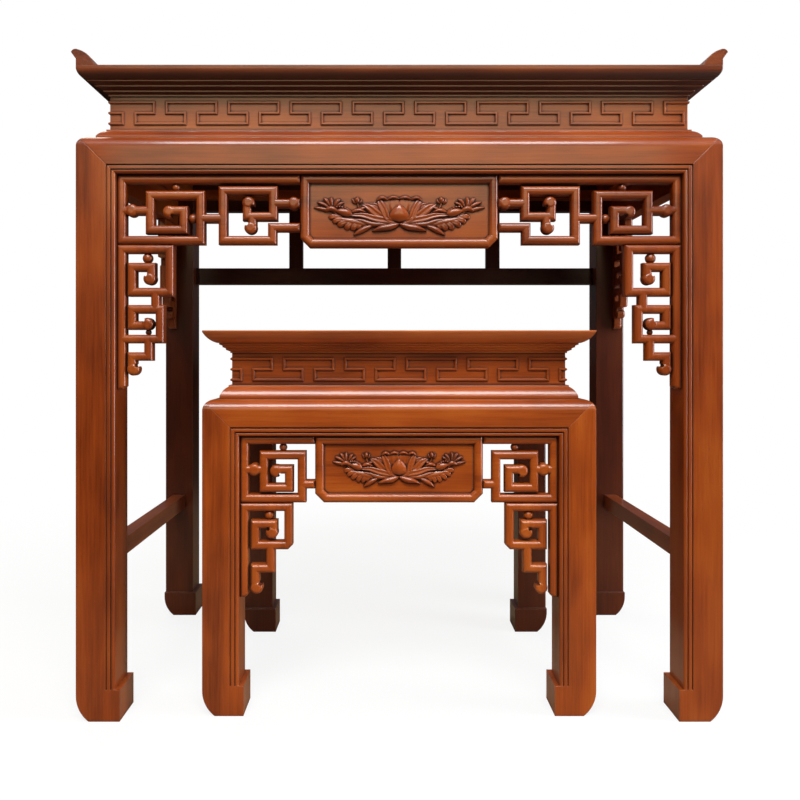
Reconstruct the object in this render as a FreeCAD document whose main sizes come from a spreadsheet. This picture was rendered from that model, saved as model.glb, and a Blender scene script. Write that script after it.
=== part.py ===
import FreeCAD, Part
import math
import os
import Sketcher

# A nested set of two altar tables: a tall table with upturned ends and a smaller table that
# stands under it. X runs along the front, Y to the back, Z up, from the floor under the middle.

# Driving sizes in millimetres. Names that start with upper or lower belong to one table.
SIZES = {
    "upper_width": 1064,
    "upper_depth": 593,
    "upper_height": 1080,
    "upper_leg": 64,
    "upper_top_thickness": 39,
    "upper_waist_height": 57,
    "upper_base_height": 19,
    "upper_apron_height": 63,
    "upper_back_apron_height": 24,
    "upper_edge_fascia": 5,
    "upper_edge_drop": 20,
    "upper_edge_in": 10,
    "upper_edge_round": 18,
    "upper_hoof_height": 52,
    "upper_key_start": 28.4,
    "upper_key_top": 10,
    "upper_square_width": 145.5,
    "upper_square_height": 116,
    "upper_spiral_in": 47,
    "upper_spiral_drop": 26.5,
    "upper_hook_in": 103,
    "upper_hook_drop": 52,
    "upper_hook_tip": 86,
    "upper_link_length": 22.5,
    "upper_link_drop": 65,
    "upper_panel_height": 121,
    "upper_bracket_width": 94,
    "upper_bracket_height": 86,
    "upper_bracket_in": 17,
    "upper_bracket_drop": 30,
    "upper_bracket_hook_in": 49,
    "upper_bracket_hook_drop": 56.5,
    "upper_bracket_foot_width": 59,
    "upper_bracket_foot_drop": 193,
    "upper_bracket_tail_drop": 207,
    "upper_bracket_end_drop": 240,
    "lower_width": 658,
    "lower_depth": 462,
    "lower_height": 644,
    "lower_leg": 61,
    "lower_top_thickness": 38,
    "lower_waist_height": 55,
    "lower_base_height": 23,
    "lower_apron_height": 61,
    "lower_back_apron_height": 24,
    "lower_edge_fascia": 2.5,
    "lower_edge_drop": 21,
    "lower_edge_in": 21,
    "lower_edge_round": 34,
    "lower_hoof_height": 50,
    "lower_key_start": 14,
    "lower_key_top": 10,
    "lower_square_width": 111.5,
    "lower_square_height": 113,
    "lower_spiral_in": 33,
    "lower_spiral_drop": 26,
    "lower_hook_in": 75.5,
    "lower_hook_drop": 50,
    "lower_hook_tip": 61,
    "lower_link_length": 15,
    "lower_link_drop": 75,
    "lower_panel_height": 113,
    "lower_bracket_width": 89,
    "lower_bracket_height": 79,
    "lower_bracket_in": 18.5,
    "lower_bracket_drop": 29,
    "lower_bracket_hook_in": 49,
    "lower_bracket_hook_drop": 50,
    "lower_bracket_corner": 8,
    "lower_bracket_foot_width": 59,
    "lower_bracket_foot_drop": 118,
    "lower_bracket_tail_drop": 143,
    "lower_bracket_end_drop": 159,
    "nest_setback": 20,
    "crook_width": 98,
    "crook_drop": 19,
    "crook_stem_in": 40,
    "crook_stem_drop": 47,
    "crook_middle_drop": 62,
    "crook_low_stem_in": 48.5,
    "crook_low_stem_drop": 88,
    "crook_step_in": 82,
    "crook_step_drop": 80,
    "tie_length": 38,
    "tie_drop": 40,
    "bracket_second_drop": 100,
    "bracket_second_width": 78,
    "bracket_second_end": 164,
    "bracket_second_hook_drop": 127,
    "bracket_second_hook_tip": 50,
    "bracket_link_in": 56,
    "bracket_end_cut": 5,
    "wing_foot": 31,
    "wing_wall": 10,
    "wing_rise": 21,
    "wing_crest": 25.6,
    "wing_crest_in": 3,
    "wing_overhang": 8,
    "wing_nose_round": 8,
    "wing_back_round": 40,
    "wing_tongue_in": 8,
    "back_rail_height": 38,
    "back_rail_level": 768,
    "back_rail_thickness": 24,
    "back_rail_setback": 20,
    "strut_width": 32,
    "strut_thickness": 18,
    "strut_spacing": 233,
    "stretcher_height": 31,
    "stretcher_width": 27,
    "stretcher_level": 246,
    "waist_inset": 42,
    "waist_thickness": 22,
    "apron_thickness": 30,
    "shoulder_round": 18,
    "base_inset": 24,
    "base_lip": 5,
    "base_reach": 5,
    "base_round": 26,
    "edge_step": 2.5,
    "edge_foot_in": 9,
    "edge_foot_rise": 8,
    "rail_width": 90,
    "panel_thickness": 16,
    "tongue_thickness": 7,
    "tongue_length": 8,
    "tongue_in": 8,
    "tenon_thickness": 12,
    "tenon_length": 24,
    "tenon_shoulder": 6,
    "tenon_cheek": 4,
    "tenon_gap": 3,
    "batten_spacing": 233,
    "batten_width": 24,
    "batten_flare": 3,
    "batten_sink": 6,
    "batten_drop": 12,
    "bead_width": 12.5,
    "bead_edge": 5,
    "bead_round": 4,
    "bead_groove": 2.5,
    "bead_groove_depth": 3,
    "hoof_flare": 8,
    "foot_in": 21,
    "foot_rise": 42,
    "foot_round": 52.5,
    "key_period": 105.6,
    "key_bar": 84,
    "key_row": 18,
    "key_line": 5.5,
    "key_rise": 2.6,
    "fret_bar": 14.5,
    "fret_depth": 18,
    "fret_setback": 8,
    "fret_round": 6,
    "fret_slot": 3,
    "curl_radius": 10.5,
    "curl_proud": 0.8,
    "curl_notch": 3.2,
    "curl_notch_out": 6.5,
    "ball_sink": 1,
    "panel_rim": 15,
    "panel_field_depth": 7,
    "panel_round": 6.5,
    "panel_chamfer": 15,
    "peg_diameter": 6,
    "peg_sink": 9,
    "peg_bite": 14,
    "bracket_peg_rise": 24,
    "dowel_diameter": 12,
    "dowel_length": 70,
    "dowel_sink": 35,
    "clearance": 0.2,
    "cut_margin": 4,
}
UPPER_BATTENS = 3
LOWER_BATTENS = 2
KEY_LINE_TAPER = -30.0
DIAGONAL = math.sqrt(2)
SAME_PLACE = 1e-4
UP = FreeCAD.Vector(0, 0, 1)
ACROSS = FreeCAD.Vector(1, 0, 0)
INWARDS = FreeCAD.Vector(0, 1, 0)
OUT_AND_DOWN = FreeCAD.Rotation(INWARDS, 135)
TURNS = {"front": 0, "right": 90, "back": 180, "left": 270}

document = FreeCAD.newDocument("AltarTableSet")
sheet = document.addObject("Spreadsheet::Sheet", "Sizes")
for row, (alias, millimetres) in enumerate(SIZES.items(), start=1):
    sheet.set(f"A{row}", alias)
    sheet.set(f"B{row}", str(millimetres))
    sheet.setAlias(f"B{row}", alias)
document.recompute()

nodes = {}


class Size:
    """A length in millimetres with the formula that works it out from the sheet."""

    def __init__(self, value, formula):
        self.value = float(value)
        self.formula = formula

    def __add__(self, other):
        other = size(other)
        return Size(self.value + other.value, f"({self.formula} + {other.formula})")

    def __sub__(self, other):
        other = size(other)
        return Size(self.value - other.value, f"({self.formula} - {other.formula})")

    def __mul__(self, factor):
        return Size(self.value * factor, f"({self.formula} * {factor})")

    def __truediv__(self, factor):
        return Size(self.value / factor, f"({self.formula} / {factor})")

    def __neg__(self):
        return Size(-self.value, f"(-1 * {self.formula})")


def size(length):
    return length if isinstance(length, Size) else Size(length, str(length))


def cell(alias):
    return Size(sheet.get(alias), f"Sizes.{alias}")


class Shared:
    """The sizes that both tables have in common."""


class Table:
    """One table's sizes, and the levels and faces that follow from them."""

    def __init__(self, prefix, middle_y):
        self.prefix = prefix
        for alias in SIZES:
            if alias.startswith(prefix + "_"):
                setattr(self, alias[len(prefix) + 1:], cell(alias))
        self.middle_y = middle_y
        self.half_width = self.width / 2
        self.half_depth = self.depth / 2
        self.top_under = self.height - self.top_thickness
        self.waist_under = self.top_under - self.waist_height
        self.shoulder = self.waist_under - self.base_height
        self.apron_under = self.shoulder - self.apron_height
        self.inner_x = self.half_width - self.leg
        self.inner_y = self.half_depth - self.leg
        self.front_y = middle_y - self.half_depth
        self.back_y = middle_y + self.half_depth

    def name(self, words):
        return f"{self.prefix}_{words}"

    def length(self, side):
        return self.width if side in ("front", "back") else self.depth

    def apron_drop(self, side):
        return self.back_apron_height if side == "back" else self.apron_height


shared = Shared()
for alias in SIZES:
    if not alias.startswith(("upper_", "lower_")):
        setattr(shared, alias, cell(alias))

upper = Table("upper", size(0))
lower = Table("lower", (cell("lower_depth") - cell("upper_depth")) / 2 + cell("nest_setback"))

# A curl's middle lies this far in from the bar edge that it swells over, or that it stays behind.
curl_in = shared.curl_radius - shared.curl_proud
curl_out = shared.curl_radius + shared.curl_proud


# Basic solids and joins


def place(thing, x, y, z, turn=0):
    thing.Placement = FreeCAD.Placement(FreeCAD.Vector(), FreeCAD.Rotation(UP, turn))
    for axis, at in zip("xyz", (x, y, z)):
        thing.setExpression(f"Placement.Base.{axis}", size(at).formula)


def block(name, x, y, z):
    """A box between the low and high ends given for each axis."""
    box = document.addObject("Part::Box", name)
    for edge, (low, high) in zip(("Length", "Width", "Height"), (x, y, z)):
        box.setExpression(edge, (size(high) - low).formula)
    place(box, x[0], y[0], z[0])
    return box


def rod(name, axis, radius, x, y, z):
    """A cylinder along one axis: the pair of ends is given there, and single values elsewhere."""
    ends = {"x": x, "y": y, "z": z}[axis]
    turns = {
        "x": FreeCAD.Rotation(UP, ACROSS),
        "y": FreeCAD.Rotation(UP, INWARDS),
        "z": FreeCAD.Rotation(),
    }
    cylinder = document.addObject("Part::Cylinder", name)
    cylinder.setExpression("Radius", radius.formula)
    cylinder.setExpression("Height", (size(ends[1]) - ends[0]).formula)
    start = [at[0] if isinstance(at, tuple) else at for at in (x, y, z)]
    place(cylinder, *start)
    cylinder.Placement.Rotation = turns[axis]
    return cylinder


def join(name, things):
    if len(things) == 1:
        return things[0]
    fusion = document.addObject("Part::MultiFuse", name)
    fusion.Shapes = things
    fusion.Refine = True
    return fusion


def carve(name, base, tools):
    if not tools:
        return base
    cut = document.addObject("Part::Cut", name)
    cut.Base = base
    cut.Tool = join(name + "_tools", tools)
    cut.Refine = True
    return cut


def group(name, things):
    gathered = document.addObject("Part::Compound", name)
    gathered.Links = things
    return gathered


def mirrored(name, thing, normal):
    mirror = document.addObject("Part::Mirroring", name)
    mirror.Source = thing
    mirror.Normal = normal
    return mirror


def rounded(name, thing, radius, wanted):
    """A fillet on every edge that the test accepts, given the edge's box."""
    document.recompute()
    fillet = document.addObject("Part::Fillet", name)
    fillet.Base = thing
    edges = enumerate(thing.Shape.Edges, start=1)
    fillet.Edges = [(index, radius.value, radius.value) for index, edge in edges if wanted(edge.BoundBox)]
    return fillet


def near(first, second):
    return abs(first - second) < SAME_PLACE


def keep(label, thing):
    """Names a finished piece as a node of the set."""
    thing.Label = label
    nodes[label] = thing
    return thing


# Sketched bodies


def side_body(name, table, side):
    """A body whose XZ plane is one outer face of the table: x runs along it, y goes inwards."""
    body = document.addObject("PartDesign::Body", name)
    ways = {
        "front": (size(0), table.front_y),
        "back": (size(0), table.back_y),
        "left": (-table.half_width, table.middle_y),
        "right": (table.half_width, table.middle_y),
    }
    place(body, *ways[side], 0, TURNS[side])
    return body


def arc_between(start, end, radius, convex):
    """The short arc from start to end; a convex one turns left along the way."""
    if not convex:
        start, end = end, start
    chord = end - start
    half = chord.Length / 2
    left = FreeCAD.Vector(-chord.y, chord.x, 0).normalize()
    centre = (start + end) * 0.5 + left * math.sqrt(radius * radius - half * half)
    angles = [math.atan2(point.y - centre.y, point.x - centre.x) for point in (start, end)]
    if angles[1] < angles[0]:
        angles[1] += 2 * math.pi
    return Part.ArcOfCircle(Part.Circle(centre, UP, radius), *angles)


def add_loop(sketch, corners):
    """A closed outline. A corner is (x, y), or (x, y, radius, convex) where an arc leads to it."""
    first = sketch.GeometryCount
    ends = []
    for index, corner in enumerate(corners):
        following = corners[(index + 1) % len(corners)]
        start, end = (FreeCAD.Vector(at[0].value, at[1].value, 0) for at in (corner, following))
        if len(following) == 2:
            sketch.addGeometry(Part.LineSegment(start, end))
            ends.append((1, 2))
        else:
            radius, convex = following[2:]
            arc = sketch.addGeometry(arc_between(start, end, radius.value, convex))
            ends.append((1, 2) if convex else (2, 1))
            bound = sketch.addConstraint(Sketcher.Constraint("Radius", arc, radius.value))
            sketch.setExpression(f"Constraints[{bound}]", radius.formula)
    for index, corner in enumerate(corners):
        line = first + index
        after = (index + 1) % len(corners)
        link = Sketcher.Constraint("Coincident", line, ends[index][1], first + after, ends[after][0])
        sketch.addConstraint(link)
        for way, at in zip(("DistanceX", "DistanceY"), corner):
            bound = sketch.addConstraint(Sketcher.Constraint(way, -1, 1, line, ends[index][0], at.value))
            sketch.setExpression(f"Constraints[{bound}]", at.formula)


def sketch_on(body, role, loops, lift=None):
    sketch = body.newObject("Sketcher::SketchObject", body.Name + "_outline")
    plane = next(feature for feature in body.Origin.OriginFeatures if feature.Role == role)
    sketch.AttachmentSupport = [(plane, "")]
    sketch.MapMode = "FlatFace"
    if lift is not None:
        sketch.setExpression("AttachmentOffset.Base.z", lift.formula)
    for corners in loops:
        add_loop(sketch, [tuple(map(size, corner[:2])) + tuple(corner[2:]) for corner in corners])
    return sketch


def pad(body, sketch, length, symmetric=False, inwards=False):
    feature = body.newObject("PartDesign::Pad", body.Name + "_pad")
    feature.Profile = sketch
    feature.setExpression("Length", length.formula)
    feature.SideType = "Symmetric" if symmetric else "One side"
    feature.Reversed = inwards
    return feature


def trim(body, sketch):
    """Cuts the outline right through the body."""
    feature = body.newObject("PartDesign::Pocket", body.Name + "_trim")
    feature.Profile = sketch
    feature.Type = "ThroughAll"
    feature.SideType = "Symmetric"
    return feature


def flip(corners):
    """The same outline on the other side of the middle, still counter-clockwise."""
    return [(-size(corner[0]), corner[1]) for corner in reversed(corners)]


def strip(name, table, side, profile, reach, ornament=None):
    """A moulded length along one side, mitred in plan; reach is how far its section goes in."""
    body = side_body(name, table, side)
    pad(body, sketch_on(body, "YZ_Plane", [profile]), table.length(side), symmetric=True)
    if ornament:
        ornament(body, table, side)
    half = table.length(side) / 2
    margin = shared.cut_margin
    mitre = [
        (half * 2, -half),
        (half * 2, reach + margin),
        (half - reach - margin, reach + margin),
    ]
    trim(body, sketch_on(body, "XY_Plane", [mitre, flip(mitre)]))
    return body


# Top: frame rails, panel, battens and upturned ends


def rail_profile(table):
    top = table.height
    under = table.top_under
    inset = shared.waist_inset
    step = shared.edge_step
    loose = shared.clearance
    groove_low = top - shared.panel_thickness - loose
    groove_high = groove_low + shared.tongue_thickness + loose * 2
    groove_in = shared.rail_width - shared.tongue_length - loose
    tongue = inset + shared.tongue_in
    cove_start = table.edge_in + step
    cove_high = top - table.edge_drop - step
    cove_end = inset - shared.edge_foot_in
    cove_low = under + shared.edge_foot_rise
    fillet_at = (cove_start + cove_end) / 2
    fillet_high = (cove_high + cove_low + step) / 2
    return [
        (size(0), top),
        (size(0), top - table.edge_fascia),
        (table.edge_in, top - table.edge_drop, table.edge_round, True),
        (cove_start, top - table.edge_drop),
        (cove_start, cove_high),
        (fillet_at, fillet_high),
        (fillet_at, fillet_high - step),
        (cove_end, cove_low),
        (cove_end, cove_low - step),
        (inset - step, under + step),
        (inset - step, under),
        (tongue - loose, under),
        (tongue - loose, under + shared.tongue_length + loose),
        (tongue + shared.tongue_thickness + loose, under + shared.tongue_length + loose),
        (tongue + shared.tongue_thickness + loose, under),
        (shared.rail_width, under),
        (shared.rail_width, groove_low),
        (groove_in, groove_low),
        (groove_in, groove_high),
        (shared.rail_width, groove_high),
        (shared.rail_width, top),
    ]


def build_top(table, battens, wings):
    prefix = table.name
    cuts = {side: [] for side in TURNS}
    loose = shared.clearance
    panel_x = table.half_width - shared.rail_width - loose
    panel_y = table.half_depth - shared.rail_width - loose
    middle = table.middle_y
    level = table.height - shared.panel_thickness
    tongue = shared.tongue_length
    board = block(prefix("panel_board"), (-panel_x, panel_x), (middle - panel_y, middle + panel_y),
                  (level, table.height))
    lip = block(prefix("panel_lip"), (-panel_x - tongue, panel_x + tongue),
                (middle - panel_y - tongue, middle + panel_y + tongue),
                (level, level + shared.tongue_thickness))
    panel = join(prefix("panel_blank"), [board, lip])
    bars = []
    slots = []
    half = shared.batten_width / 2
    low = level - shared.batten_drop
    for index in range(battens):
        place_x = shared.batten_spacing * (index - (battens - 1) / 2)
        bar = batten(prefix("batten"), table, place_x, half, low, panel_y, size(0))
        slot_reach = panel_y + tongue * 2
        slots.append(batten(prefix("batten_slot"), table, place_x, half, low, slot_reach, loose))
        tenon = shared.tenon_thickness / 2
        inside = panel_y + shared.tenon_length / 2
        height = (low + shared.edge_step, level - shared.edge_step)
        key = block(prefix("batten_tenon"), (place_x - tenon, place_x + tenon),
                    (middle - inside, middle + inside), height)
        bars.append(join(prefix("batten_bar"), [bar, key]))
        for side, sign in (("front", -1), ("back", 1)):
            near_y = middle + (panel_y + loose) * sign
            far_y = middle + (inside + loose) * sign
            ends = (far_y, near_y) if sign < 0 else (near_y, far_y)
            across = (place_x - tenon - loose, place_x + tenon + loose)
            mortise = block(prefix("batten_mortise"), across, ends, (height[0] - loose, height[1] + loose))
            cuts[side].append(mortise)
    keep(prefix("top_panel"), carve(prefix("panel_cut"), panel, slots))
    keep(prefix("top_battens"), group(prefix("batten_group"), bars))
    if wings:
        for side, sign in (("left", -1), ("right", 1)):
            cuts[side].append(wing_tongue(table, prefix("wing_groove"), sign, loose))
        blank = wing(table)
        keep(prefix("left_wing"), blank)
        keep(prefix("right_wing"), mirrored(prefix("wing_mirror"), blank, ACROSS))
    for side in TURNS:
        rail = strip(prefix(f"{side}_rail_blank"), table, side, rail_profile(table), shared.rail_width)
        keep(prefix(f"top_{side}_rail"), carve(prefix(f"{side}_rail_cut"), rail, cuts[side]))


def batten(name, table, place_x, half, low, reach, loose):
    """A bar across the panel's underside that widens into a dovetail."""
    level = table.height - shared.panel_thickness
    body = document.addObject("PartDesign::Body", name)
    place(body, place_x, table.middle_y, 0)
    flare = half + shared.batten_flare + loose
    section = [
        (-half - loose, low),
        (half + loose, low),
        (half + loose, level),
        (flare, level + shared.batten_sink + loose),
        (-flare, level + shared.batten_sink + loose),
        (-half - loose, level),
    ]
    pad(body, sketch_on(body, "XZ_Plane", [section]), reach * 2, symmetric=True)
    return body


def wing_tongue(table, name, sign, loose):
    inner = table.half_width - shared.wing_tongue_in - shared.tongue_thickness - loose
    outer = table.half_width - shared.wing_tongue_in + loose
    along = (-outer, -inner) if sign < 0 else (inner, outer)
    reach = table.half_depth - shared.rail_width / 2 + loose
    return block(name, along, (table.middle_y - reach, table.middle_y + reach),
                 (table.height - shared.tongue_length - loose, table.height))


def wing(table):
    """The left upturned end: a wall, a nose that leans out, and a rounded back down to the top."""
    body = document.addObject("PartDesign::Body", table.name("wing_body"))
    place(body, -table.half_width, table.middle_y, table.height)
    section = [
        (size(0), size(0)),
        (shared.wing_foot, size(0)),
        (shared.wing_crest_in, shared.wing_crest, shared.wing_back_round, True),
        (-shared.wing_overhang, shared.wing_rise, shared.wing_nose_round, True),
        (size(0), shared.wing_wall),
    ]
    pad(body, sketch_on(body, "XZ_Plane", [section]), table.depth, symmetric=True)
    tongue = wing_tongue(table, table.name("wing_tongue"), -1, size(0))
    return join(table.name("wing_blank"), [body, tongue])


# Waist with its key fret, and the base moulding under it


def build_waist(table, dowels):
    inset = shared.waist_inset
    inner = inset + shared.waist_thickness
    tongue = inset + shared.tongue_in
    profile = [
        (inset, table.waist_under),
        (inner, table.waist_under),
        (inner, table.top_under),
        (tongue + shared.tongue_thickness, table.top_under),
        (tongue + shared.tongue_thickness, table.top_under + shared.tongue_length),
        (tongue, table.top_under + shared.tongue_length),
        (tongue, table.top_under),
        (inset, table.top_under),
    ]
    for side in TURNS:
        fret = raise_key_fret if side != "back" else None
        board = strip(table.name(f"{side}_waist_board"), table, side, profile, inner, fret)
        keep(table.name(f"waist_{side}"), carve(table.name(f"{side}_waist_cut"), board, dowels))


def raise_key_fret(body, table, side):
    """Interlocking T shapes drawn by one unbroken raised line, one period at a time along the board."""
    period = shared.key_period
    bar = shared.key_bar
    edge = shared.key_line / 2
    high = table.top_under - table.key_top
    middle = high - shared.key_row
    low = middle - shared.key_row
    half_period = period / 2
    run = table.length(side) / 2 - shared.waist_inset
    count = math.ceil(2 * run.value / period.value) + 2
    start = table.key_start - period * (count // 2)
    far = half_period + bar
    line = [
        (-edge, high + edge),
        (-edge, high - edge),
        (bar - edge, high - edge),
        (bar - edge, middle + edge),
        (half_period - edge, middle + edge),
        (half_period - edge, low - edge),
        (far + edge, low - edge),
        (far + edge, middle + edge),
        (period + edge, middle + edge),
        (period + edge, high + edge),
        (period - edge, high + edge),
        (period - edge, middle - edge),
        (far - edge, middle - edge),
        (far - edge, low + edge),
        (half_period + edge, low + edge),
        (half_period + edge, middle - edge),
        (bar + edge, middle - edge),
        (bar + edge, high + edge),
    ]
    shifted = [(start + x, z) for x, z in line]
    sketch = sketch_on(body, "XZ_Plane", [shifted], lift=-shared.waist_inset)
    ridge = pad(body, sketch, shared.key_rise)
    ridge.TaperAngle = KEY_LINE_TAPER
    along = next(feature for feature in body.Origin.OriginFeatures if feature.Role == "X_Axis")
    pattern = body.newObject("PartDesign::LinearPattern", body.Name + "_fret")
    pattern.Originals = [ridge]
    pattern.Direction = (along, [""])
    pattern.Occurrences = count
    pattern.setExpression("Length", (period * (count - 1)).formula)
    body.Tip = pattern


def build_base_moulding(table, dowels):
    inner = shared.waist_inset + shared.waist_thickness
    crest = shared.waist_inset - shared.base_reach
    profile = [
        (shared.base_inset, table.shoulder),
        (inner, table.shoulder),
        (inner, table.waist_under),
        (crest, table.waist_under),
        (crest, table.waist_under - shared.edge_step),
        (shared.base_inset, table.shoulder + shared.base_lip, shared.base_round, True),
    ]
    lengths = []
    for side in TURNS:
        length = strip(table.name(f"{side}_moulding"), table, side, profile, inner)
        lengths.append(carve(table.name(f"{side}_moulding_cut"), length, dowels))
    keep(table.name("base_moulding"), group(table.name("moulding_group"), lengths))


def corner_dowels(table, name, loose):
    """Upright dowels that tie each leg to the base moulding and the waist above it."""
    at = shared.waist_inset + shared.waist_thickness / 2
    low = table.shoulder - shared.dowel_sink - loose
    dowels = []
    for side_x in (-1, 1):
        for side_y in (-1, 1):
            x = (table.half_width - at) * side_x
            y = table.middle_y + (table.half_depth - at) * side_y
            high = low + shared.dowel_length + loose * 2
            dowels.append(rod(name, "z", shared.dowel_diameter / 2 + loose, x, y, (low, high)))
    return dowels


# Aprons and legs


def apron(table, side):
    """A board with a rounded shoulder and a beaded lower edge, mitred to the legs on its face."""
    drop = table.apron_drop(side)
    under = table.shoulder - drop
    thick = shared.apron_thickness
    profile = [
        (shared.bead_round, under, shared.bead_round, True),
        (thick, under),
        (thick, table.shoulder),
        (shared.shoulder_round, table.shoulder),
        (size(0), table.shoulder - shared.shoulder_round, shared.shoulder_round, True),
        (size(0), under + shared.bead_round),
    ]
    body = strip(table.name(f"{side}_apron_board"), table, side, profile, thick)
    half = table.length(side) / 2
    margin = shared.cut_margin
    inner = half - table.leg
    outer = half + table.leg
    mitre = [
        (inner + drop + margin, table.shoulder + margin),
        (inner, under),
        (inner, under - margin),
        (outer, under - margin),
        (outer, table.shoulder + margin),
    ]
    trim(body, sketch_on(body, "XZ_Plane", [mitre, flip(mitre)]))
    return body


def apron_tenons(table, side, loose):
    """Stub tenons that carry each end of an apron into its legs."""
    under = table.shoulder - table.apron_drop(side)
    face = table.length(side) / 2 - table.leg
    skin = (shared.apron_thickness - shared.tenon_thickness) / 2
    deep = (skin - loose, shared.apron_thickness - skin + loose)
    inside = table.leg - shared.apron_thickness + skin - shared.tenon_gap + loose
    high = (under + shared.tenon_shoulder - loose, table.shoulder - shared.tenon_shoulder + loose)
    tenons = []
    for sign in (-1, 1):
        ends = (face * sign, (face + inside) * sign) if sign > 0 else ((face + inside) * sign, face * sign)
        body = side_body(table.name(f"{side}_apron_tenon"), table, side)
        outline = [(ends[0], high[0]), (ends[1], high[0]), (ends[1], high[1]), (ends[0], high[1])]
        pad(body, sketch_on(body, "XZ_Plane", [outline], lift=-deep[0]), deep[1] - deep[0], inwards=True)
        tenons.append(body)
    return tenons


def bead_groove(table, side, inset):
    """A quirk beside the bead, running up one leg, along the apron and down the other leg."""
    half = table.length(side) / 2
    near_x = half - table.leg + inset
    far_x = near_x + shared.bead_groove
    near_z = table.apron_under + inset
    far_z = near_z + shared.bead_groove
    foot = table.hoof_height
    body = side_body(table.name(f"{side}_bead_groove"), table, side)
    outline = [
        (-far_x, foot),
        (-near_x, foot),
        (-near_x, near_z),
        (near_x, near_z),
        (near_x, foot),
        (far_x, foot),
        (far_x, far_z),
        (-far_x, far_z),
    ]
    pad(body, sketch_on(body, "XZ_Plane", [outline]), shared.bead_groove_depth, inwards=True)
    return body


def shoulder_cutter(table, side):
    """What the rounded shoulder takes off the legs' upper outer edges."""
    rounding = shared.shoulder_round
    margin = shared.cut_margin
    profile = [
        (-margin, table.shoulder - rounding),
        (size(0), table.shoulder - rounding),
        (rounding, table.shoulder, rounding, False),
        (rounding, table.shoulder + margin),
        (-margin, table.shoulder + margin),
    ]
    return strip(table.name(f"{side}_shoulder_cutter"), table, side, profile, rounding)


def foot_cutter(table):
    """What the curve at the foot takes off the outer side of the left legs."""
    margin = shared.cut_margin
    profile = [
        (-margin, -margin),
        (shared.foot_in, -margin),
        (shared.foot_in, size(0)),
        (size(0), shared.foot_rise, shared.foot_round, False),
        (-margin, shared.foot_rise),
    ]
    body = side_body(table.name("foot_cutter"), table, "left")
    pad(body, sketch_on(body, "YZ_Plane", [profile]), table.depth, symmetric=True)
    return body


def leg_blank(table):
    """The front left leg before its joints are cut: a shaft on a flared hoof."""
    x = -table.half_width
    y = table.front_y
    leg = table.leg
    hoof = leg + shared.hoof_flare
    shaft = block(table.name("leg_shaft"), (x, x + leg), (y, y + leg), (table.hoof_height, table.shoulder))
    shaft = rounded(table.name("leg_beaded_shaft"), shaft, shared.bead_round, lambda box: (
        box.ZLength > leg.value and not near(box.XMin - x.value, box.YMin - y.value)))
    foot = block(table.name("leg_hoof"), (x, x + hoof), (y, y + hoof), (0, table.hoof_height))
    return join(table.name("leg_whole"), [shaft, foot])


def build_frame(table, extra_cuts):
    """Aprons with their tenons, and the four legs that they are mitred into."""
    boards = {side: apron(table, side) for side in TURNS}
    beaded = [side for side in TURNS if side != "back"]
    insets = (shared.bead_edge, shared.bead_width)
    grooves = {side: [bead_groove(table, side, inset) for inset in insets] for side in beaded}
    cutters = {side: shoulder_cutter(table, side) for side in TURNS}
    for side in TURNS:
        tools = grooves.get(side, []) + extra_cuts.get(f"{side}_apron", [])
        whole = join(table.name(f"{side}_apron_whole"), [boards[side], *apron_tenons(table, side, size(0))])
        keep(table.name(f"apron_{side}"), carve(table.name(f"{side}_apron_cut"), whole, tools))
    front = leg_blank(table)
    turned = mirrored(table.name("leg_mirror"), front, INWARDS)
    turned.setExpression("Base.y", table.middle_y.formula)
    dowel_holes = corner_dowels(table, table.name("dowel_hole"), shared.clearance)
    foot_curve = foot_cutter(table)
    for end, blank in (("front", front), ("back", turned)):
        tools = [cutters[end], cutters["left"], boards[end], boards["left"], foot_curve, *dowel_holes]
        for side in (end, "left"):
            tools += grooves.get(side, [])
            tools += apron_tenons(table, side, shared.clearance)
        tools += extra_cuts.get(f"{end}_leg", [])
        left = carve(table.name(f"{end}_leg_cut"), blank, tools)
        keep(table.name(f"leg_{end}_left"), left)
        right = mirrored(table.name(f"{end}_leg_mirror"), left, ACROSS)
        keep(table.name(f"leg_{end}_right"), right)
    keep(table.name("corner_dowels"),
         group(table.name("dowel_group"), corner_dowels(table, table.name("dowel"), size(0))))


# Lattice work: frets, brackets and the carved panel


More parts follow.
